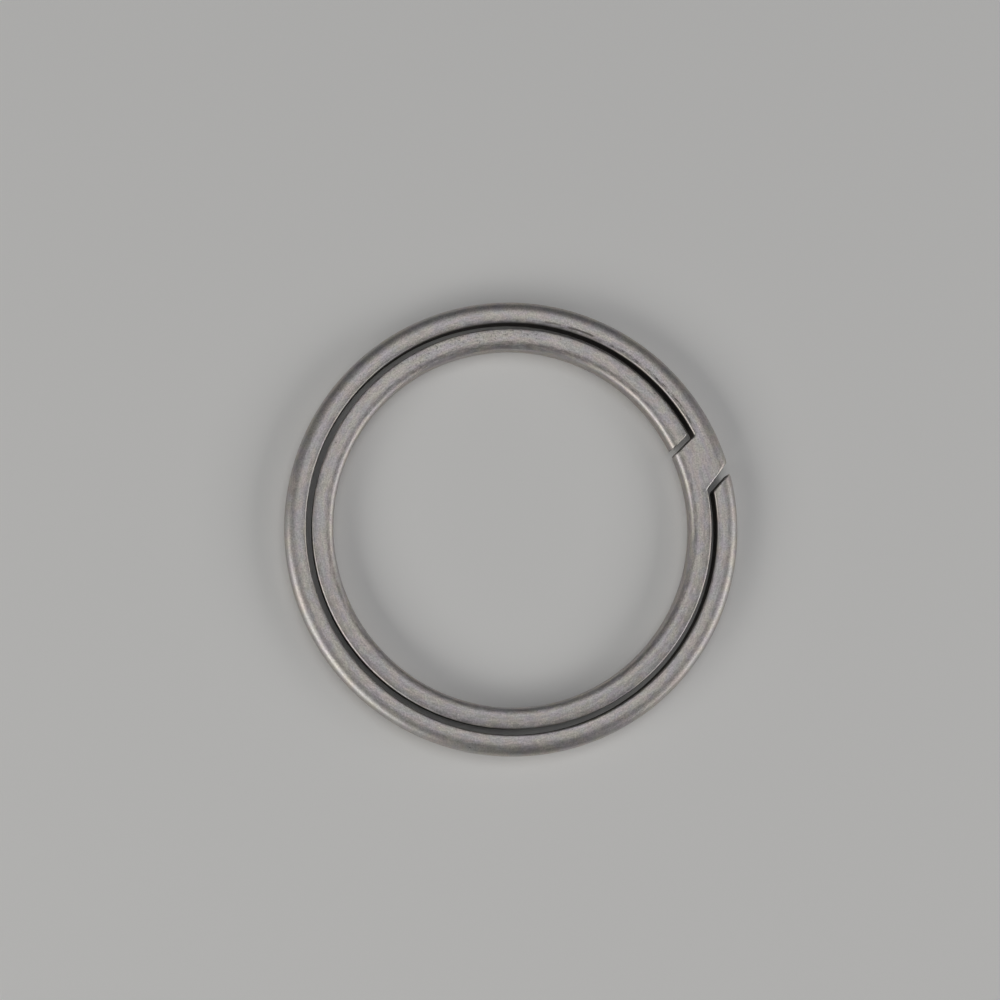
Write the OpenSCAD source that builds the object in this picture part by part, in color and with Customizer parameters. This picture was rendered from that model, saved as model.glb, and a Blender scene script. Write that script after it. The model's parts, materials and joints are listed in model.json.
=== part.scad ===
// Flat split key ring of the side-push kind, cut from one titanium plate.
//
// One strip makes two turns in one plane. It starts at the outer tip, runs round as the outer coil,
// steps inwards through the bridge, runs round again as the inner coil and ends at the inner tip.
// A key is fed in at the outer jog, slid along the slit for a whole turn and let off at the inner jog.
// The metal itself is the spring: pushing a tip sideways twists its coil all along.
//
// The coils are divided into links at their flexure planes, where that twist is put.
// Neighbouring links meet face to face on a plane square to the strip, so at rest they make up the
// whole strip, and a turn about the plane's normal neither opens the joint nor makes it overlap.
//
// Millimetres and degrees. The ring lies flat with +Z up, its origin is the eye's centre on the
// underside, and angles run anticlockwise from +X.

/* [Ring] */
// Outside diameter
ring_d = 32; // [28:0.5:38]
// Radial width of the band, which is both coils and the slit between them
band_w = 3.4; // [3.2:0.1:4.4]
// Thickness of the plate
plate_t = 2; // [1.6:0.1:3]

/* [Slit] */
// Width of the slit between the coils, and of the gap at the inner jog
slit_w = 0.4; // [0.3:0.05:0.6]
// Width of the gap at the outer jog, where it leaves the slit
mouth_w = 0.45; // [0.4:0.01:0.7]

/* [Jogs] */
// Angle at which the outer jog leaves the slit
outer_jog_at = 10.8; // [8:0.1:14]
// Lean of the outer tip's end face away from the radial direction
outer_jog_lean = 37.5; // [28:0.5:42]
// Angle by which the bridge's face leans further, so that the mouth widens towards the rim
mouth_flare = 4.4; // [0:0.2:10]
// Angle at which the inner jog leaves the slit
inner_jog_at = 27.5; // [26:0.1:34]
// Lean of the inner tip's end face away from the radial direction
inner_jog_lean = 17.4; // [12:0.2:30]

/* [Edges] */
// Fillet on the outside rim, above and below
rim_fillet = 0.55; // [0.3:0.05:0.6]
// Fillet round the eye, above and below
eye_fillet = 0.45; // [0.3:0.05:0.6]
// Fillet on the edges of the slit
slit_fillet = 0.12; // [0.05:0.01:0.2]
// Length of the flat that blunts the sharp point of the outer tip
nose_flat = 0.15; // [0.1:0.05:0.4]

/* [Coils] */
// Links along each coil, with one flexure plane at the start of each
links = 15; // [9:1:25]

/* [Hidden] */
ring_r = ring_d / 2;
eye_r = ring_r - band_w;
slit_r = (ring_r + eye_r) / 2;
outer_coil_r = slit_r + slit_w / 2;
inner_coil_r = slit_r - slit_w / 2;

// Free arc of each coil, and the arc of one link. Half a link's arc stays with the bridge.
coil_arc = 360 - (inner_jog_at - outer_jog_at);
link_arc = coil_arc / (links + 0.5);

// Arc by which the root of a coil is tucked into the bridge
tuck_arc = 3;
// Arc by which a tip runs on under the cut that ends it
over_arc = 12;
// How far the faces of a jog run past the band, so that they cut it right through
reach = band_w;

titanium = [0.57, 0.56, 0.54];
arc_facets = 360;
fillet_facets = 32;

LINK_NUMBERS = [for (i = [1:links - 1]) str(i < 10 ? "0" : "", i)];

function polar(r, a) = [r * cos(a), r * sin(a)];

// Distance from point p to the circle of radius r, going in direction a
function to_circle(p, a, r) =
    let (along = p * polar(1, a))
    sqrt(along * along - p * p + r * r) - along;

// Flexure plane i of each coil. Plane 1 is the one nearest to the bridge.
function outer_plane(i) = inner_jog_at + (i - 0.5) * link_arc;
function inner_plane(i) = outer_jog_at - (i - 0.5) * link_arc;

// A point beside a jog, measured along the jog and to the left of it from where it leaves the slit
function on_jog(at, lean, along, left) =
    polar(slit_r, at) + polar(along, at + lean) + polar(left, at + lean + 90);
function on_outer_jog(along, left) = on_jog(outer_jog_at, outer_jog_lean, along, left);
function on_inner_jog(along, left) = on_jog(inner_jog_at, inner_jog_lean, along, left);

// Cross-section of a strip: a bar with one fillet on its inner edges and another on its outer edges
module section(r_in, r_out, fillet_in, fillet_out) {
    translate([r_in + fillet_in, 0])
        square([r_out - fillet_out - r_in - fillet_in, plate_t]);
    translate([r_in, fillet_in])
        square([fillet_in, plate_t - 2 * fillet_in]);
    translate([r_out - fillet_out, fillet_out])
        square([fillet_out, plate_t - 2 * fillet_out]);
    for (z = [fillet_in, plate_t - fillet_in])
        translate([r_in + fillet_in, z])
            circle(r = fillet_in, $fn = fillet_facets);
    for (z = [fillet_out, plate_t - fillet_out])
        translate([r_out - fillet_out, z])
            circle(r = fillet_out, $fn = fillet_facets);
}

// Sweeps a cross-section anticlockwise about the ring's axis
module sweep(from, to) {
    rotate([0, 0, from])
        rotate_extrude(angle = to - from, $fn = arc_facets)
            children();
}

module outer_strip(from, to) {
    sweep(from, to) section(outer_coil_r, ring_r, slit_fillet, rim_fillet);
}

module inner_strip(from, to) {
    sweep(from, to) section(eye_r, inner_coil_r, eye_fillet, slit_fillet);
}

module full_band(from, to) {
    sweep(from, to) section(eye_r, ring_r, eye_fillet, rim_fillet);
}

// Everything on the left of the line that runs through a point in direction a
module left_of(point, a) {
    translate([point.x, point.y, -plate_t])
        rotate([0, 0, a])
            translate([-2 * reach, 0, 0])
                cube([4 * reach, 2 * reach, 3 * plate_t]);
}

// The solid metal between the two jogs, with the root of each coil up to its first flexure plane
module bridge() {
    face_a = outer_jog_at + outer_jog_lean + mouth_flare;
    face = on_outer_jog(0, mouth_w - slit_w / 2);
    outline = [
        face - polar(reach, face_a),
        face + polar(reach, face_a),
        on_inner_jog(reach, -slit_w / 2),
        on_inner_jog(-reach, -slit_w / 2)
    ];
    color(titanium)
        union() {
            intersection() {
                full_band(outer_jog_at - tuck_arc, inner_jog_at + tuck_arc);
                translate([0, 0, -plate_t])
                    linear_extrude(height = 3 * plate_t)
                        polygon(outline);
            }
            outer_strip(inner_jog_at - tuck_arc, outer_plane(1));
            inner_strip(inner_plane(1), outer_jog_at + tuck_arc);
        }
}

// One link of the outer coil
module outer_coil(i) {
    color(titanium) outer_strip(outer_plane(i), outer_plane(i + 1));
}

// One link of the inner coil
module inner_coil(i) {
    color(titanium) inner_strip(inner_plane(i + 1), inner_plane(i));
}

// The outer coil's free end, with the point where its end face meets the rim blunted
module outer_tip() {
    face_a = outer_jog_at + outer_jog_lean;
    face = on_outer_jog(0, -slit_w / 2);
    point = face + polar(to_circle(face, face_a, ring_r), face_a);
    half_a = (90 + atan2(point.y, point.x) - face_a) / 2;
    inward_a = face_a + 180 + half_a;
    blunt = point + polar(nose_flat / (2 * tan(half_a)), inward_a);
    color(titanium)
        difference() {
            outer_strip(outer_plane(links), 360 + outer_jog_at + over_arc);
            left_of(face, face_a);
            left_of(blunt, inward_a + 90);
        }
}

// The inner coil's free end
module inner_tip() {
    face_a = inner_jog_at + inner_jog_lean;
    color(titanium)
        difference() {
            inner_strip(inner_jog_at - 360 - over_arc, inner_plane(links));
            left_of(on_inner_jog(0, slit_w / 2), face_a + 180);
        }
}

bridge();
outer_tip();
inner_tip();
for (i = [1:links - 1])
    outer_coil(i);
for (i = [1:links - 1])
    inner_coil(i);
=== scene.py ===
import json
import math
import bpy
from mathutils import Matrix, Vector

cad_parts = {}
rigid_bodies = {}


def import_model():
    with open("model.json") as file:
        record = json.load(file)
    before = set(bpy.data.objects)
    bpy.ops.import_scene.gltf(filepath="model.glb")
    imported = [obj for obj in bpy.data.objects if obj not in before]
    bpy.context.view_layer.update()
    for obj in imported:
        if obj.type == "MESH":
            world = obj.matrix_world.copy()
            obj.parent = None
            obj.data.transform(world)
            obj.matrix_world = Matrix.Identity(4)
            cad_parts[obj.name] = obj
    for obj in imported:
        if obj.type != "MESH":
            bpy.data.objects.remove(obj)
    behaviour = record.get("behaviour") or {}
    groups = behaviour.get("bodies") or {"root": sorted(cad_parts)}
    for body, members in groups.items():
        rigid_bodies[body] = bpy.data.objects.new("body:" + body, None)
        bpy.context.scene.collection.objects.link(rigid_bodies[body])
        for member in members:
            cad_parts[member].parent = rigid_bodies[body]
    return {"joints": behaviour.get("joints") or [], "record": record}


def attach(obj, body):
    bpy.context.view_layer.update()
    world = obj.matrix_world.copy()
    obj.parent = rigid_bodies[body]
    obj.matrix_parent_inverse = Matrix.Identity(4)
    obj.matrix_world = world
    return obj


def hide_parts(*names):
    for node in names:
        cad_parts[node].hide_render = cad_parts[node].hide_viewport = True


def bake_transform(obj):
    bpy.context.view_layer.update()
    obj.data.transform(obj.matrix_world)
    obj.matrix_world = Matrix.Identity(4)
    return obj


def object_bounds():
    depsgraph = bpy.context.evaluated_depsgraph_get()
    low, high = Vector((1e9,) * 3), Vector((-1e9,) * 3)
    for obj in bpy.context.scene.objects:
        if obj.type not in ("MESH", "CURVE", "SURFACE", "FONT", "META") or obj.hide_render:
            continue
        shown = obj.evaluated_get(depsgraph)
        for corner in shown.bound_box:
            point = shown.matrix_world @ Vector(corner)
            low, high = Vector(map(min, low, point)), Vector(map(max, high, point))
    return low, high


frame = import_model()

# Looks of the flat split key ring: one seamless strip of stonewashed titanium.
# Lengths are in millimetres until a mesh is made, and angles are in degrees anticlockwise from +X.
# One piece of strip spans each flexure joint, and the bridge is rigid.
from types import SimpleNamespace

import bpy
import numpy as np
from mathutils import Quaternion, Vector

MM = 0.001
CAD_LO, CAD_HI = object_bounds()

# ---------------------------------------------------------------- dimensions from the frame
RECORD = frame["record"]
JOINTS = frame["joints"]
EYE_R = next(m for m in RECORD["mounts"] if m["name"] == "eye")["dims"]["r_mm"]
RING_R = (CAD_HI.x - CAD_LO.x) / 2 / MM
PLATE_T = (CAD_HI.z - CAD_LO.z) / MM


def chain_of(coil):
    """The coil's joints in order from the bridge to the tip."""
    after = {j["parent"]: j for j in JOINTS if j["child"].startswith(coil)}
    chain, body = [], "bridge"
    while body in after:
        chain.append(after[body])
        body = after[body]["child"]
    return chain


CHAINS = {coil: chain_of(coil) for coil in ("outer", "inner")}


def mid_radius(coil):
    x, y, _ = CHAINS[coil][0]["pos_m"]
    return math.hypot(x, y) / MM


OUTER_MID, INNER_MID = mid_radius("outer"), mid_radius("inner")
HALF_W = RING_R - OUTER_MID
OUTER_WALL = OUTER_MID - HALF_W
INNER_WALL = INNER_MID + HALF_W
SLIT_R = (OUTER_WALL + INNER_WALL) / 2
SLIT_W = OUTER_WALL - INNER_WALL

# The jogs, as the CAD design sets them out
OUTER_JOG_AT, OUTER_JOG_LEAN = 10.8, 37.5
INNER_JOG_AT, INNER_JOG_LEAN = 27.5, 17.4
MOUTH_W, MOUTH_FLARE = 0.45, 4.4

# Edge shapes, as (width in plan, depth). A shoulder is the gentle slope of a coil's top to the slit.
RIM_FILLET = (0.85, 0.55)
EYE_FILLET = (0.72, 0.42)
CUT_FILLET = (0.1, 0.08)
SHOULDER = {"outer": (0.6, 0.12), "inner": (0.6, 0.085)}

# How far each corner is rounded, measured along its two sides
TIP_NOSE, TIP_SLIT_CORNER = 0.3, 0.16
INNER_NOSE, INNER_SLIT_CORNER = 0.14, 0.22
ROOT_CORNER, BRIDGE_CORNER = 0.1, 0.12

# How much wider the edge of the bridge's outer face is broken than the other cut edges, and so how much wider
# the highlight painted along it is
MOUTH_EDGE = 1.5

# Arc of each coil that belongs to the bridge piece, beyond where its jog leaves the slit
ROOT_ARC = 1.6
# Steps of the mesh along a coil, and the short one that holds the shading at a seam
STEP, SEAM_STEP = 1.0, 0.12
# Rows of the side, as shares of the way from the upper edge to the lower one
WALL_ROWS = (0.06, 0.5, 0.94)
# Distances of mesh lines from a cut edge, once past its fillet
LINES_PAST_CUT = (0.12, 0.18, 0.26, 0.36, 0.46)
# Mesh lines across the bridge in line with the slit, as shares of the slit's width
LINES_IN_SLIT = (0.04, 0.12, 0.24, 0.4, 0.55, 0.7, 0.84, 0.94)

# Wear on the upper face. Dashes and rub lines are placed by angle and by distance from the outer
# coil's slit wall, and each rub line has its strength.
DASHES_ARC, DASHES_BAND = (31, 61), (0.17, 0.31)
RUB_LINES, RUB_BAND = (((67.5, 74), 1.0), ((77, 80.5), 0.6)), (0.2, 0.29)
NICK_R, NICK_AT = 13.2, 24.7
# Fine pits on the inner coil, placed by angle and by distance from the eye and from the slit
PITTED_ARC, PITTED_FROM_EYE, PITTED_FROM_SLIT = (84, 122), 0.65, 0.15
# The mottle evens out over the rim, between these two distances from the outside
EVENED_FROM, EVENED_TO = 0.95, 0.5


# ---------------------------------------------------------------- plan geometry
def polar(r, a):
    a = np.radians(a)
    return np.stack([r * np.cos(a), r * np.sin(a)], -1)


def angle_of(p):
    return np.degrees(np.arctan2(p[..., 1], p[..., 0]))


def meet_circle(p, way, r):
    """Where the line from p along the unit vector way leaves the circle of radius r."""
    along = p @ way
    return p + way * (math.sqrt(along * along - p @ p + r * r) - along)


def corner(a, c, b, steps=10):
    """A smooth corner from a to b whose sides run towards c."""
    t = np.linspace(0, 1, steps + 1)[:, None]
    return (1 - t) ** 2 * a + 2 * t * (1 - t) * c + t * t * b


class Face:
    """A jog's face seen from above: an edge whose radius grows all along."""

    def __init__(self, points):
        self.xy = np.concatenate(points)
        self.r = np.maximum.accumulate(np.hypot(self.xy[:, 0], self.xy[:, 1]))
        self.a = angle_of(self.xy)

    def at(self, r):
        return np.interp(r, self.r, self.a)


def jog_frame(at, lean):
    """(point, along, left) of a jog: where it leaves the slit, and its two directions."""
    return polar(SLIT_R, at), polar(1.0, at + lean), polar(1.0, at + lean + 90)


def on_circle(p, r, arc):
    """The point of the circle at p's angle, moved anticlockwise by a length."""
    return polar(r, angle_of(p) + math.degrees(arc / r))


def straight_face(p, way, r_in, r_out, side_in, side_out, size_in, size_out):
    """A straight face from one circle to another. side is the way round, 1 or -1, in which the
    edge goes on at each end."""
    c0, c1 = meet_circle(p, way, r_in), meet_circle(p, way, r_out)
    begin, end = c0 + way * size_in, c1 - way * size_out
    return Face([
        corner(on_circle(c0, r_in, side_in * size_in), c0, begin),
        begin + np.linspace(0, 1, 22)[1:-1, None] * (end - begin),
        corner(end, c1, on_circle(c1, r_out, side_out * size_out)),
    ])


def make_faces():
    """The four faces of the two jogs."""
    faces = {}
    start, along, left = jog_frame(OUTER_JOG_AT, OUTER_JOG_LEAN)
    faces["outer_tip"] = straight_face(
        start - left * SLIT_W / 2, along, OUTER_WALL, RING_R, -1, -1, TIP_SLIT_CORNER, TIP_NOSE)
    faces["outer_bridge"] = straight_face(
        start + left * (MOUTH_W - SLIT_W / 2), polar(1.0, OUTER_JOG_AT + OUTER_JOG_LEAN + MOUTH_FLARE),
        INNER_WALL, RING_R, -1, 1, ROOT_CORNER, BRIDGE_CORNER)
    start, along, left = jog_frame(INNER_JOG_AT, INNER_JOG_LEAN)
    faces["inner_bridge"] = straight_face(
        start - left * SLIT_W / 2, along, EYE_R, OUTER_WALL, -1, 1, BRIDGE_CORNER, ROOT_CORNER)
    faces["inner_tip"] = straight_face(
        start + left * SLIT_W / 2, along, EYE_R, INNER_WALL, 1, 1, INNER_NOSE, INNER_SLIT_CORNER)
    return faces


FACES = make_faces()


def eased(width, steps):
    """Distances from an edge that follow its fillet round in even turns."""
    turn = np.linspace(0, math.pi / 2, steps + 1)
    return width * (1 - np.cos(turn))


FACE_LINES = np.concatenate([eased(CUT_FILLET[0], 5), LINES_PAST_CUT])


def coil_lines(coil):
    """Radii of the mesh lines that run along a coil, closest together round its edges."""
    if coil == "outer":
        rim = RING_R - eased(RIM_FILLET[0], 16)[::-1]
        cut = OUTER_WALL + FACE_LINES
        return np.concatenate([cut, rim[rim > cut[-1] + 0.04]])
    eye = EYE_R + eased(EYE_FILLET[0], 16)
    cut = (INNER_WALL - FACE_LINES)[::-1]
    return np.concatenate([eye[eye < cut[0] - 0.04], cut])


# ---------------------------------------------------------------- heights
def fillet_drop(d, shape):
    """How far a rounded edge has fallen at distance d from the side."""
    width, depth = shape
    u = np.clip(1 - d / width, 0, 1)
    return depth * (1 - np.sqrt(1 - u * u))


def top_height(r, cut_d, slit_d):
    """Height of the upper face above the underside. cut_d is the distance to the nearest cut, and
    slit_d the distance to the slit, where each coil slopes down gently."""
    shoulder = np.where(r > SLIT_R, fillet_drop(slit_d, SHOULDER["outer"]),
                        fillet_drop(slit_d, SHOULDER["inner"]))
    return (PLATE_T - fillet_drop(RING_R - r, RIM_FILLET) - fillet_drop(r - EYE_R, EYE_FILLET)
            - shoulder - fillet_drop(cut_d, CUT_FILLET))


def distance_to(line, p):
    """Distance of each point from a line of short straight pieces."""
    a, b = line[:-1], line[1:]
    ab = b - a
    ap = p[:, None, :] - a
    t = np.clip((ap * ab).sum(-1) / np.maximum((ab * ab).sum(-1), 1e-12), 0, 1)
    return np.linalg.norm(ap - t[..., None] * ab, axis=-1).min(1)


# ---------------------------------------------------------------- meshes
def grid_quads(start, columns, rows):
    """Quads of a grid of columns by rows, with rows varying fastest."""
    j, i = np.meshgrid(np.arange(columns - 1), np.arange(rows - 1), indexing="ij")
    a = (start + j * rows + i).ravel()
    return np.stack([a, a + 1, a + rows + 1, a + rows], -1)


def merged(xy, quads):
    """Joins the points that coincide."""
    key = np.round(xy, 6)
    _, first, back = np.unique(key, axis=0, return_index=True, return_inverse=True)
    return xy[first], back.ravel()[quads]


def facing_up(xy, quads):
    """Quads turned anticlockwise as seen from above."""
    p = xy[quads]
    d1, d2 = p[:, 2] - p[:, 0], p[:, 3] - p[:, 1]
    area = d1[:, 0] * d2[:, 1] - d1[:, 1] * d2[:, 0]
    quads = quads.copy()
    quads[area < 0] = quads[area < 0][:, ::-1]
    return quads


def rim_edges(quads):
    """Directed edges of the quads that only one quad has."""
    edges = np.concatenate([quads[:, [k, (k + 1) % 4]] for k in range(4)])
    have = set(map(tuple, edges.tolist()))
    return np.array([e for e in edges.tolist() if (e[1], e[0]) not in have])


def plate_layers(xy, z, on_rim):
    """Points of a plate from its upper face down to the lower one. Gives the points, whether each
    is on the side, and the number in each layer of every plan point, or -1."""
    count = len(xy)
    rows = [np.arange(count)]
    points = [np.column_stack([xy, z])]
    on_side = [np.zeros(count)]
    total = count
    for t in WALL_ROWS:
        row = np.full(count, -1)
        row[on_rim] = total + np.arange(len(on_rim))
        rows.append(row)
        points.append(np.column_stack([xy[on_rim], z[on_rim] * (1 - t) + (PLATE_T - z[on_rim]) * t]))
        on_side.append(np.ones(len(on_rim)))
        total += len(on_rim)
    rows.append(total + np.arange(count))
    points.append(np.column_stack([xy, PLATE_T - z]))
    on_side.append(np.zeros(count))
    return np.concatenate(points), np.concatenate(on_side), rows


def plate(name, xy, quads, cut_d, slit_d, seams):
    """A piece of the plate: an upper face, its mirror image below, and the side between them.
    seams are the angles at which the piece meets a neighbour."""
    quads = facing_up(xy, quads)
    z = top_height(np.hypot(xy[:, 0], xy[:, 1]), cut_d, slit_d)
    edges = rim_edges(quads)
    on_rim = np.unique(edges)
    points, on_side, rows = plate_layers(xy, z, on_rim)
    a, b = edges[:, 0], edges[:, 1]
    side = [np.stack([upper[b], upper[a], lower[a], lower[b]], -1)
            for upper, lower in zip(rows[:-1], rows[1:])]
    faces = np.concatenate([quads, quads[:, ::-1] + rows[-1][0], *side])
    mesh = bpy.data.meshes.new(name)
    mesh.from_pydata((points * MM).tolist(), [], faces.tolist())
    mesh.shade_smooth()
    mark_seams(mesh, points, seams)
    cut_d = np.concatenate([cut_d] + [cut_d[on_rim]] * len(WALL_ROWS) + [cut_d])
    write_attributes(mesh, points, cut_d, on_side)
    obj = bpy.data.objects.new(name, mesh)
    bpy.context.collection.objects.link(obj)
    return obj


def mark_seams(mesh, points, seams):
    """Keeps the shading of the outside clear of the hidden ends where pieces meet."""
    a = angle_of(points)
    on = [np.abs((a - s + 180) % 360 - 180) < 1e-4 for s in seams]
    for edge in mesh.edges:
        i, j = edge.vertices
        if any(o[i] and o[j] for o in on):
            edge.use_edge_sharp = True


def write_attributes(mesh, points, cut_d, on_side):
    """What the material reads: the place at rest in mm; the walls of the slit and the jogs, where shade is
    painted;
    the nearness of a cut edge, where a highlight is painted; and the steep part of the fillets of the rim and
    the eye, where a sheen is painted."""
    rest = mesh.attributes.new("rest", "FLOAT_VECTOR", "POINT")
    rest.data.foreach_set("vector", points.astype(np.float32).ravel())
    r = np.hypot(points[:, 0], points[:, 1])
    # cut is the mask of the walls of the slit and the jogs, where the material paints shade.
    cut = on_side * (cut_d < 0.02) * (r < RING_R - 0.03) * (r > EYE_R + 0.03)
    # edge is the mask of the highlight painted along the cut edges.
    edge = np.exp(-(cut_d / 0.07) ** 2) * (1 - on_side)
    # rim is the mask of the sheen painted on the steep part of the rim and eye fillets.
    rim = np.exp(-((RING_R - r - 0.12) / 0.16) ** 2) + np.exp(-((r - EYE_R - 0.1) / 0.15) ** 2)
    for name, values in (("cut", cut), ("edge", edge), ("rim", rim)):
        attribute = mesh.attributes.new(name, "FLOAT", "POINT")
        attribute.data.foreach_set("value", values.astype(np.float32))


def arc_columns(a0, a1):
    """Angles from a0 to a1 in even steps, with one short step at each end."""
    way = 1 if a1 > a0 else -1
    inner0, inner1 = a0 + way * SEAM_STEP, a1 - way * SEAM_STEP
    count = max(2, round(abs(inner1 - inner0) / STEP))
    return np.concatenate([[a0], np.linspace(inner0, inner1, count + 1), [a1]])


def grid_points(angles, radii):
    """Points of a grid; angles has a row for each column of the grid."""
    return polar(np.broadcast_to(radii, angles.shape), angles).reshape(-1, 2)


def coil_piece(coil, name, a0, a1):
    """A length of coil between two neighbours."""
    radii = coil_lines(coil)
    columns = arc_columns(a0, a1)
    angles = np.repeat(columns[:, None], len(radii), 1)
    xy = grid_points(angles, radii)
    wall = OUTER_WALL if coil == "outer" else INNER_WALL
    cut_d = np.abs(np.tile(radii, len(columns)) - wall)
    return plate(name, xy, grid_quads(0, len(columns), len(radii)), cut_d, cut_d, [a0, a1])


def face_columns(start, end, way, lean, radii):
    """Columns from the angle start to the face whose angle at each radius is end. Away from the
    face they spread out evenly."""
    near = [end - way * np.degrees(d / (radii * math.cos(math.radians(lean)))) for d in FACE_LINES]
    near = near[::-1]
    count = max(3, round(abs(near[0].mean() - start) / STEP))
    far = [np.full(len(radii), start), start + way * SEAM_STEP + 0 * radii]
    for t in np.linspace(0, 1, count + 1)[1:-1]:
        far.append(far[1] + t * (near[0] - far[1]))
    return np.array(far + near)


def tip_piece(coil, name, a0):
    """The end of a coil, from a0 to its leaning face."""
    radii = coil_lines(coil)
    way, lean, wall, turns = {
        "outer": (1, OUTER_JOG_LEAN, OUTER_WALL, 360),
        "inner": (-1, INNER_JOG_LEAN, INNER_WALL, -360),
    }[coil]
    face = FACES[coil + "_tip"]
    angles = face_columns(a0, face.at(radii) + turns, way, lean, radii)
    xy = grid_points(angles, radii)
    slit_d = np.abs(np.tile(radii, len(angles)) - wall)
    cut_d = np.minimum(slit_d, distance_to(face.xy, xy))
    return plate(name, xy, grid_quads(0, *angles.shape), cut_d, slit_d, [a0])


def bridge_columns(radii):
    """Angles of the columns of the solid metal between the jogs."""
    left = FACES["outer_bridge"].at(np.maximum(radii, INNER_WALL))
    right = FACES["inner_bridge"].at(np.minimum(radii, OUTER_WALL))
    lean_l, lean_r = math.radians(OUTER_JOG_LEAN + MOUTH_FLARE), math.radians(INNER_JOG_LEAN)
    from_left = [left + np.degrees(d / (radii * math.cos(lean_l))) for d in FACE_LINES]
    to_right = [right - np.degrees(d / (radii * math.cos(lean_r))) for d in FACE_LINES][::-1]
    middle = [from_left[-1] + t * (to_right[0] - from_left[-1]) for t in np.linspace(0, 1, 13)[1:-1]]
    return np.array(from_left + middle + to_right)


def bridge_plan():
    """Points and quads of the bridge seen from above, with the angles of the columns of the inner
    coil's root and of the outer coil's."""
    inner, outer = coil_lines("inner"), coil_lines("outer")
    radii = np.concatenate([inner, INNER_WALL + SLIT_W * np.array(LINES_IN_SLIT), outer])
    solid = bridge_columns(radii)
    root_in = np.linspace(OUTER_JOG_AT - ROOT_ARC, solid[0, 0], 5)
    root_out = np.linspace(solid[-1, -1], INNER_JOG_AT + ROOT_ARC, 5)
    root_in = np.insert(root_in, 1, root_in[0] + SEAM_STEP)
    root_out = np.insert(root_out, -1, root_out[-1] - SEAM_STEP)
    xy, quads, total = [], [], 0
    for angles, lines in ((solid, radii),
                          (np.repeat(root_in[:, None], len(inner), 1), inner),
                          (np.repeat(root_out[:, None], len(outer), 1), outer)):
        xy.append(grid_points(angles, lines))
        quads.append(grid_quads(total, *angles.shape))
        total += angles.size
    return *merged(np.concatenate(xy), np.concatenate(quads)), root_in, root_out


def bridge_distances(xy, root_in, root_out):
    """Distances of the bridge's points to the nearest cut and to the slit."""
    r, a = np.hypot(xy[:, 0], xy[:, 1]), angle_of(xy)
    slit_in = polar(INNER_WALL, np.linspace(root_in[0] - ROOT_ARC, root_in[-1], 60))
    slit_out = polar(OUTER_WALL, np.linspace(root_out[0], root_out[-1] + ROOT_ARC, 60))
    slit_d = np.where(r < SLIT_R, distance_to(slit_in, xy), distance_to(slit_out, xy))
    cut_d = np.minimum(distance_to(FACES["outer_bridge"].xy, xy) / MOUTH_EDGE,
                       distance_to(FACES["inner_bridge"].xy, xy))
    in_root = (a <= root_in[-1] + 1e-6) & (r < SLIT_R)
    out_root = (a >= root_out[0] - 1e-6) & (r > SLIT_R)
    slit_d[in_root] = np.abs(INNER_WALL - r)[in_root]
    slit_d[out_root] = np.abs(r - OUTER_WALL)[out_root]
    return np.minimum(cut_d, slit_d), slit_d


def bridge_piece():
    """The bridge with the root of each coil."""
    xy, quads, root_in, root_out = bridge_plan()
    cut_d, slit_d = bridge_distances(xy, root_in, root_out)
    return plate("ring_bridge", xy, quads, cut_d, slit_d, [root_in[0], root_out[-1]])


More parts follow.
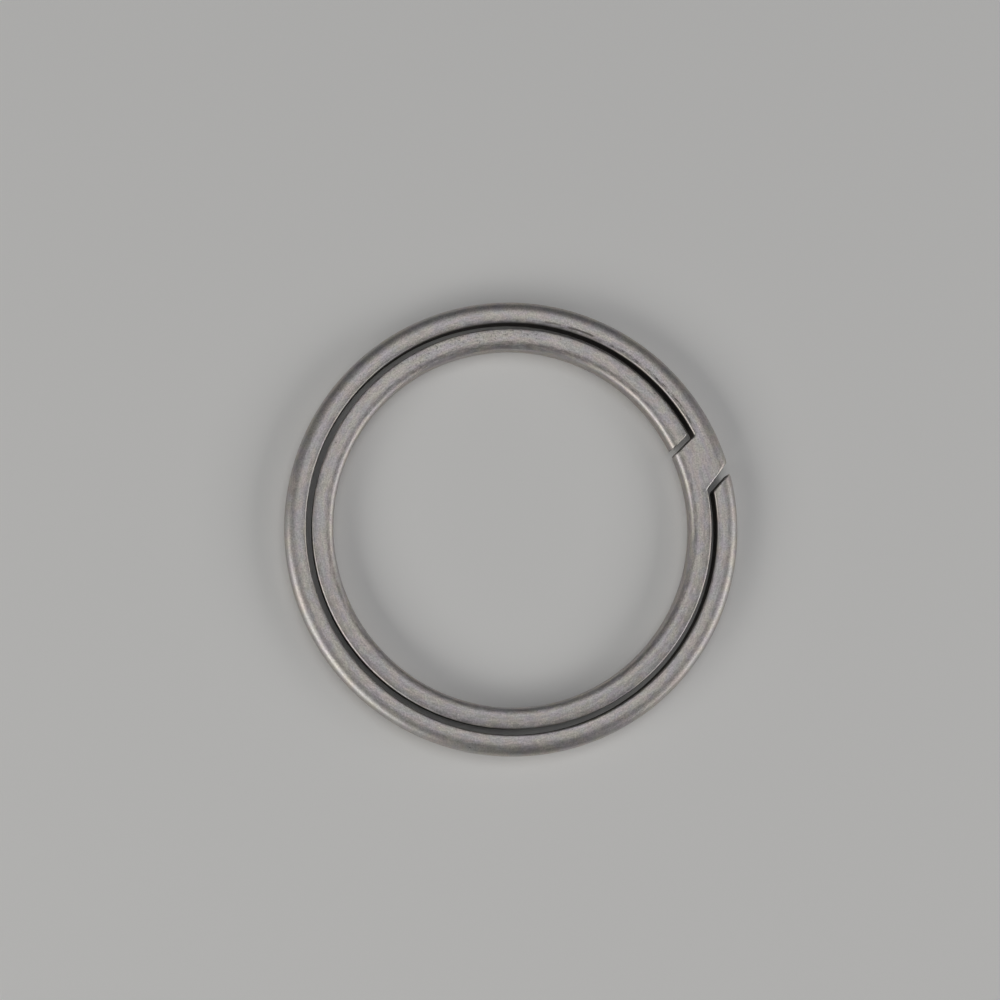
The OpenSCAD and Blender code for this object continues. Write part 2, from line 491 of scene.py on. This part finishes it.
# ---------------------------------------------------------------- material
class Nodes:
    """Short ways to add a material's nodes, with the place at rest, in mm, that they start from."""

    def __init__(self, material):
        self.tree = material.node_tree
        self.tree.nodes.clear()
        self.place = self.attribute("rest", "Vector")
        split = self.add("ShaderNodeSeparateXYZ")
        self.put(self.place, split.inputs[0])
        self.x, self.y, self.z = split.outputs
        self.radius = self.math("SQRT", self.plus(self.times(self.x, self.x), self.times(self.y, self.y)))
        self.angle = self.math("ARCTAN2", self.y, self.x)

    def add(self, kind, **values):
        node = self.tree.nodes.new(kind)
        for key, value in values.items():
            setattr(node, key, value)
        return node

    def put(self, value, socket):
        if isinstance(value, bpy.types.NodeSocket):
            self.tree.links.new(value, socket)
        else:
            socket.default_value = value

    def math(self, operation, *inputs, clamp=False):
        node = self.add("ShaderNodeMath", operation=operation, use_clamp=clamp)
        for value, socket in zip(inputs, node.inputs):
            self.put(value, socket)
        return node.outputs[0]

    def times(self, a, b):
        return self.math("MULTIPLY", a, b)

    def plus(self, a, b):
        return self.math("ADD", a, b)

    def minus(self, a, b):
        return self.math("SUBTRACT", a, b)

    def most(self, first, *others):
        for other in others:
            first = self.math("MAXIMUM", first, other)
        return first

    def shifted(self, vector, by):
        node = self.add("ShaderNodeVectorMath", operation="ADD")
        self.put(vector, node.inputs[0])
        self.put(by, node.inputs[1])
        return node.outputs[0]

    def attribute(self, name, output="Fac"):
        return self.add("ShaderNodeAttribute", attribute_name=name).outputs[output]

    def noise(self, vector, scale, detail=2.0, roughness=0.5):
        node = self.add("ShaderNodeTexNoise")
        self.put(vector, node.inputs["Vector"])
        node.inputs["Scale"].default_value = scale
        node.inputs["Detail"].default_value = detail
        node.inputs["Roughness"].default_value = roughness
        return node.outputs["Fac"]

    def ramp(self, value, low, high, out_low=0.0, out_high=1.0):
        """A smooth change from out_low to out_high as the value goes from low to high."""
        node = self.add("ShaderNodeMapRange", interpolation_type="SMOOTHSTEP")
        for name, v in {"Value": value, "From Min": low, "From Max": high,
                        "To Min": out_low, "To Max": out_high}.items():
            self.put(v, node.inputs[name])
        return node.outputs[0]

    def between(self, value, ends, soft):
        """1 between two values, falling off softly outside them."""
        low, high = ends
        return self.times(self.ramp(value, low - soft, low), self.ramp(value, high, high + soft, 1.0, 0.0))

    def patch(self, arc, band, soft_arc, soft_band):
        """1 in a stretch of the ring: between two angles in degrees and between two radii."""
        return self.times(self.between(self.angle, [math.radians(a) for a in arc], soft_arc),
                          self.between(self.radius, band, soft_band))

    def mix(self, factor, a, b, blend="MIX"):
        node = self.add("ShaderNodeMix", data_type="RGBA", blend_type=blend)
        self.put(factor, node.inputs[0])
        self.put(a, node.inputs[6])
        self.put(b, node.inputs[7])
        return node.outputs[2]

    def drawn_out(self, across, along):
        """Coordinates in which a noise comes out drawn out along the coils."""
        node = self.add("ShaderNodeCombineXYZ")
        self.put(self.plus(self.times(self.radius, across), self.times(self.z, across)), node.inputs[0])
        self.put(self.times(self.x, along), node.inputs[1])
        self.put(self.times(self.y, along), node.inputs[2])
        return node.outputs[0]


def rgb(r, g, b):
    return (r, g, b, 1.0)


def hairs(n, turn, length, width, amount):
    """Short fine scratches that lie one way, from stretched noise."""
    mapping = n.add("ShaderNodeMapping")
    n.put(n.place, mapping.inputs["Vector"])
    mapping.inputs["Rotation"].default_value = (0, 0, math.radians(turn))
    mapping.inputs["Scale"].default_value = (1 / length, 1 / width, 1 / width)
    mapping.inputs["Location"].default_value = (turn * 0.37, turn * 0.11, 0)
    return n.ramp(n.noise(mapping.outputs[0], 1.0, 1.0), 0.66, 0.74, 0.0, amount)


def wear(n):
    """Wear on the upper face: dashes and a broken line where keys have rubbed beside the slit, a
    nick on the bridge, and a few fine pits on the inner coil."""
    patchy = n.noise(n.drawn_out(16.0, 2.2), 1.0, 2.0, 0.6)
    dashes = n.times(n.patch(DASHES_ARC, [OUTER_WALL + d for d in DASHES_BAND], 0.03, 0.05),
                     n.ramp(patchy, 0.5, 0.6))
    rubbed = n.most(*(n.times(n.patch(arc, [OUTER_WALL + d for d in RUB_BAND], 0.02, 0.05), amount)
                      for arc, amount in RUB_LINES))
    rubbed = n.times(rubbed, n.ramp(patchy, 0.38, 0.52, 0.6, 1.0))
    nick_x, nick_y = polar(NICK_R, NICK_AT).tolist()
    away = n.math("SQRT", n.plus(n.math("POWER", n.minus(n.x, nick_x), 2.0),
                                 n.math("POWER", n.minus(n.y, nick_y), 2.0)))
    nick = n.ramp(away, 0.05, 0.14, 0.6, 0.0)
    pitted = n.times(n.patch(PITTED_ARC, (EYE_R + PITTED_FROM_EYE, INNER_WALL - PITTED_FROM_SLIT), 0.08, 0.1),
                     n.ramp(n.noise(n.place, 7.0, 1.0), 0.62, 0.67, 0.0, 0.7))
    upper = n.math("GREATER_THAN", n.z, PLATE_T / 2)
    return n.times(upper, n.most(dashes, rubbed, nick, pitted))


def patterns(n):
    """The patterns that the colour, the roughness and the relief share."""
    mottle = n.noise(n.drawn_out(5.5, 2.0), 1.0, 4.0, 0.62)
    evened = n.ramp(n.radius, RING_R - EVENED_FROM, RING_R - EVENED_TO, 0.0, 0.7)
    return SimpleNamespace(
        cloud=n.noise(n.place, 0.55, 3.0),
        mottle=n.plus(mottle, n.times(evened, n.minus(0.51, mottle))),
        grain=n.noise(n.place, 9.0, 3.0, 0.6),
        streak=n.noise(n.drawn_out(9.0, 0.7), 1.0, 3.0, 0.55),
        pits=n.ramp(n.noise(n.place, 5.5, 2.0), 0.715, 0.765),
        specks=n.ramp(n.noise(n.shifted(n.place, (7.0, 3.0, 5.0)), 6.5, 1.0), 0.76, 0.8),
        hairs=n.most(hairs(n, 12, 1.4, 0.045, 0.8), hairs(n, 58, 1.1, 0.04, 0.7),
                     hairs(n, 103, 1.6, 0.05, 0.7), hairs(n, 149, 1.2, 0.04, 0.8)),
        marks=wear(n),
        # Masks of painted light: edge for a painted highlight along the cut edges, rim for a painted sheen on
        # the steep fillets, cut for painted shade on the walls of the slit and the jogs.
        edge=n.attribute("edge"),
        rim=n.attribute("rim"),
        cut=n.attribute("cut"),
    )


def tinted(n, colour):
    """The colour with soft warm and cool patches a millimetre or two across, and fainter pink and
    green ones."""
    patches = n.drawn_out(1.5, 0.8)
    warmth = n.ramp(n.noise(patches, 1.0, 3.0, 0.55), 0.38, 0.62)
    pinkness = n.ramp(n.noise(n.shifted(patches, (11.0, 4.0, 9.0)), 1.3, 3.0, 0.55), 0.38, 0.62)
    warm_cool = n.mix(warmth, rgb(0.952, 0.965, 1.02), rgb(1.048, 1.033, 1.0))
    pink_green = n.mix(pinkness, rgb(0.99, 1.02, 0.99), rgb(1.01, 0.98, 1.01))
    return n.mix(1.0, n.mix(1.0, colour, warm_cool, "MULTIPLY"), pink_green, "MULTIPLY")


def metal_colour(n, p):
    colour = n.mix(n.ramp(p.mottle, 0.38, 0.64), rgb(0.42, 0.390, 0.371), rgb(0.685, 0.645, 0.616))
    for amount, over in (
        (n.ramp(p.cloud, 0.4, 0.62, 0.0, 0.35), rgb(0.54, 0.522, 0.516)),
        (n.ramp(p.streak, 0.42, 0.64, 0.0, 0.5), rgb(0.69, 0.652, 0.624)),
        (n.ramp(p.grain, 0.42, 0.64, 0.0, 0.6), rgb(0.33, 0.308, 0.293)),
        (n.times(p.hairs, 0.4), rgb(0.76, 0.724, 0.694)),
        (n.times(p.specks, 0.8), rgb(0.88, 0.84, 0.79)),
        (n.times(n.most(p.pits, p.marks), 0.8), rgb(0.10, 0.095, 0.09)),
        # Painted highlight: a light colour along the cut edges of the upper face.
        (n.times(p.edge, 0.6), rgb(0.82, 0.79, 0.75)),
        # Painted sheen: a lighter, evener colour on the steep part of the rim and eye fillets, where their
        # highlights fall.
        (n.times(p.rim, 0.5), rgb(0.65, 0.62, 0.588)),
    ):
        colour = n.mix(amount, colour, over)
    # Painted shade: the walls of the slit and the jogs get a dark colour so that these recesses read dark.
    wall = n.mix(n.ramp(n.noise(n.place, 14.0, 2.0), 0.3, 0.7),
                 rgb(0.17, 0.162, 0.156), rgb(0.27, 0.258, 0.249))
    # Where the cut mask is set, the metal's colour gives way to the painted shade of the walls.
    return n.mix(p.cut, tinted(n, colour), wall)


def metal_roughness(n, p):
    rough = n.plus(n.ramp(p.mottle, 0.3, 0.7, 0.36, 0.46), n.times(p.grain, 0.08))
    rough = n.minus(rough, n.times(p.edge, 0.12))
    return n.math("ADD", rough, n.times(p.cut, 0.2), clamp=True)


def metal_relief(n, p):
    """The fine relief, as a bump."""
    height = n.plus(n.times(p.grain, 0.5), n.times(n.noise(n.place, 26.0, 2.0), 0.35))
    height = n.plus(height, n.times(p.mottle, 0.6))
    height = n.minus(height, n.times(p.hairs, 0.3))
    height = n.minus(height, n.times(n.plus(p.pits, p.marks), 0.9))
    bump = n.add("ShaderNodeBump")
    bump.inputs["Strength"].default_value = 0.28
    bump.inputs["Distance"].default_value = 0.00002
    n.put(height, bump.inputs["Height"])
    return bump.outputs[0]


def titanium():
    """Stonewashed titanium: a matte, faintly mottled grey with fine random hairs and a few dark
    pits, a painted highlight along the edges of the slit and the jogs, an evener rim with a painted
    sheen on its steep fillets, and painted shade darkening the walls of the slit and the jogs."""
    material = bpy.data.materials.new("titanium_stonewashed")
    material.use_nodes = True
    n = Nodes(material)
    p = patterns(n)
    shader = n.add("ShaderNodeBsdfPrincipled")
    shader.inputs["Metallic"].default_value = 1.0
    shader.inputs["Specular Tint"].default_value = rgb(0.7, 0.68, 0.66)
    n.put(metal_colour(n, p), shader.inputs["Base Color"])
    n.put(metal_roughness(n, p), shader.inputs["Roughness"])
    n.put(metal_relief(n, p), shader.inputs["Normal"])
    output = n.add("ShaderNodeOutputMaterial")
    n.put(shader.outputs[0], output.inputs["Surface"])
    return material


# ---------------------------------------------------------------- the ring
def blend_across(obj):
    """Bakes the piece's placement into its mesh; it doesn't bend the piece at its joint."""
    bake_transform(obj)


def unwrapped(coil):
    """The angles of a coil's joints, counted on from the bridge."""
    angles = []
    for joint in CHAINS[coil]:
        a = math.degrees(math.atan2(joint["pos_m"][1], joint["pos_m"][0]))
        if angles:
            a = angles[-1] + (a - angles[-1] + 180) % 360 - 180
        angles.append(a)
    return angles


def make_coil(coil, material):
    """All the pieces of one coil, each spanning one joint."""
    angles = unwrapped(coil)
    way = 1 if coil == "outer" else -1
    half = abs(angles[1] - angles[0]) / 2
    root = INNER_JOG_AT + ROOT_ARC if coil == "outer" else OUTER_JOG_AT - ROOT_ARC
    for k, (joint, at) in enumerate(zip(CHAINS[coil], angles)):
        name = f"ring_{coil}_{k + 1:02d}"
        a0 = at - way * half if k else root
        last = k == len(angles) - 1
        piece = tip_piece(coil, name, a0) if last else coil_piece(coil, name, a0, at + way * half)
        piece.data.materials.append(material)
        blend_across(piece)
        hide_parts(joint["child"])


def make_ring():
    material = titanium()
    bridge = bridge_piece()
    bridge.data.materials.append(material)
    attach(bridge, "bridge")
    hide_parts("bridge")
    for coil in CHAINS:
        make_coil(coil, material)


# ---------------------------------------------------------------- studio
def make_camera():
    """A long lens nearly overhead, leaning a little to the lower left."""
    data = bpy.data.cameras.new("camera")
    data.lens, data.sensor_width = 100.0, 36.0
    data.clip_start, data.clip_end = 0.01, 10.0
    camera = bpy.data.objects.new("camera", data)
    bpy.context.collection.objects.link(camera)
    bpy.context.scene.camera = camera
    lean, towards, distance = 7.64, 222.4, 194.8 * MM
    target = Vector((-0.94 * MM, 1.92 * MM, PLATE_T * MM))
    turn = Quaternion(Vector((*polar(1.0, towards + 90), 0)), math.radians(lean))
    camera.rotation_mode = "QUATERNION"
    camera.rotation_quaternion = turn
    camera.location = target + turn @ Vector((0, 0, distance))


def area_light(name, place, size, power, colour=(1, 1, 1)):
    """A soft lamp that faces the ring's centre."""
    data = bpy.data.lights.new(name, "AREA")
    data.shape = "RECTANGLE"
    data.size, data.size_y = size
    data.energy = power
    data.color = colour
    light = bpy.data.objects.new(name, data)
    bpy.context.collection.objects.link(light)
    light.location = place
    light.rotation_mode = "QUATERNION"
    light.rotation_quaternion = (-Vector(place)).to_track_quat("-Z", "Y")


def from_side(towards, elevation, distance):
    """A place seen from the ring's centre."""
    flat = polar(distance * math.cos(math.radians(elevation)), towards)
    return (flat[0], flat[1], distance * math.sin(math.radians(elevation)))


def make_studio():
    scene = bpy.context.scene
    scene.view_settings.view_transform = "Standard"
    world = bpy.data.worlds.new("studio")
    scene.world = world
    world.use_nodes = True
    background = world.node_tree.nodes["Background"]
    background.inputs[0].default_value = (0.9, 0.93, 1.0, 1)
    background.inputs[1].default_value = 0.08
    area_light("overhead", from_side(80, 77, 0.5), (0.28, 0.28), 0.36)
    area_light("lower_left", from_side(211, 30, 0.4), (0.42, 0.18), 0.62, colour=(1.0, 0.98, 0.94))
    area_light("right", from_side(347, 28, 0.4), (0.4, 0.18), 0.45, colour=(1.0, 0.98, 0.96))


def make_floor():
    """A pale floor, just clear of the underside so that the two faces don't coincide."""
    size = 1.2
    mesh = bpy.data.meshes.new("floor")
    corners = [(-size, -size, 0), (size, -size, 0), (size, size, 0), (-size, size, 0)]
    mesh.from_pydata(corners, [], [(0, 1, 2, 3)])
    floor = bpy.data.objects.new("floor", mesh)
    floor.location.z = -0.00002
    bpy.context.collection.objects.link(floor)
    material = bpy.data.materials.new("floor_paper")
    material.use_nodes = True
    shader = material.node_tree.nodes["Principled BSDF"]
    shader.inputs["Base Color"].default_value = (0.88, 0.88, 0.87, 1)
    shader.inputs["Roughness"].default_value = 0.8
    shader.inputs["Specular IOR Level"].default_value = 0.2
    floor.data.materials.append(material)


make_camera()
make_studio()
make_floor()
make_ring()
